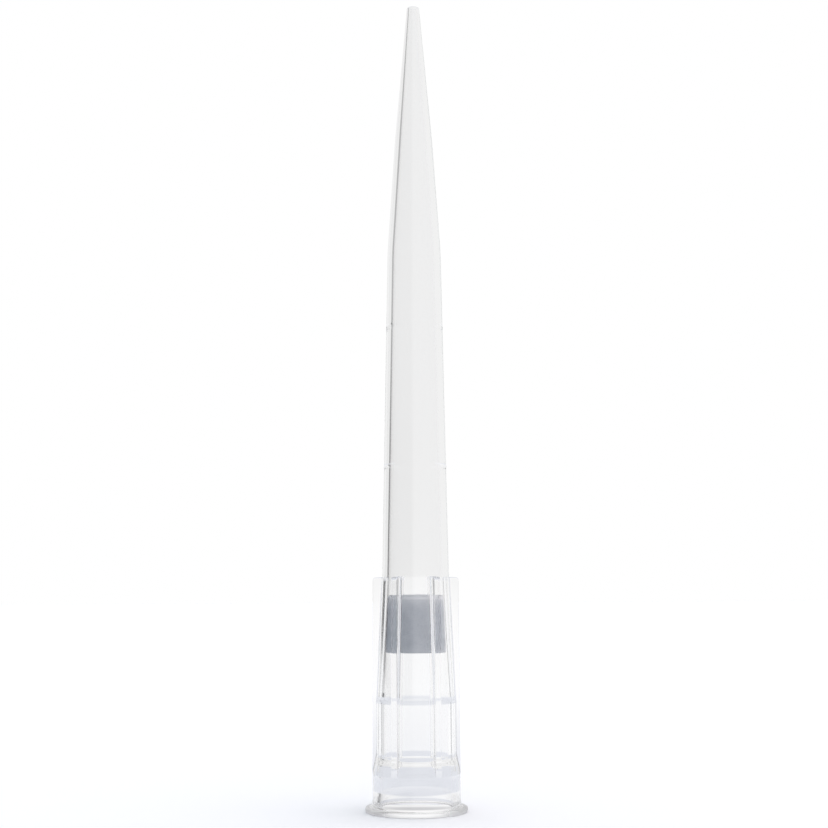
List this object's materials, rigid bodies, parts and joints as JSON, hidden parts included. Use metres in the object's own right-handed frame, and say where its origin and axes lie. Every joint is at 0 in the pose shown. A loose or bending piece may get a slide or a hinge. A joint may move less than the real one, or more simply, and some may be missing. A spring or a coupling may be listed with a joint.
{
  "type": "pipette tip",
  "caption": "Long clear tapered pipette tip with a flanged mouth, ribbed collar, raised volume marks and a porous filter plug in its bore.",
  "frame": {"origin": "centre of the flange's lower face, in the plane the tip stands on", "axes": "+Z along the tip's axis from the mouth towards the point, +X through the middle of one collar rib"},
  "size_m": [0.0074, 0.0074, 0.06],
  "materials": {
    "clear_polypropylene": "gloss",
    "porous_filter": "matte"
  },
  "bodies": {
    "root": {"tip_body": "clear_polypropylene", "filter_plug": "porous_filter"}
  },
  "joints": []
}
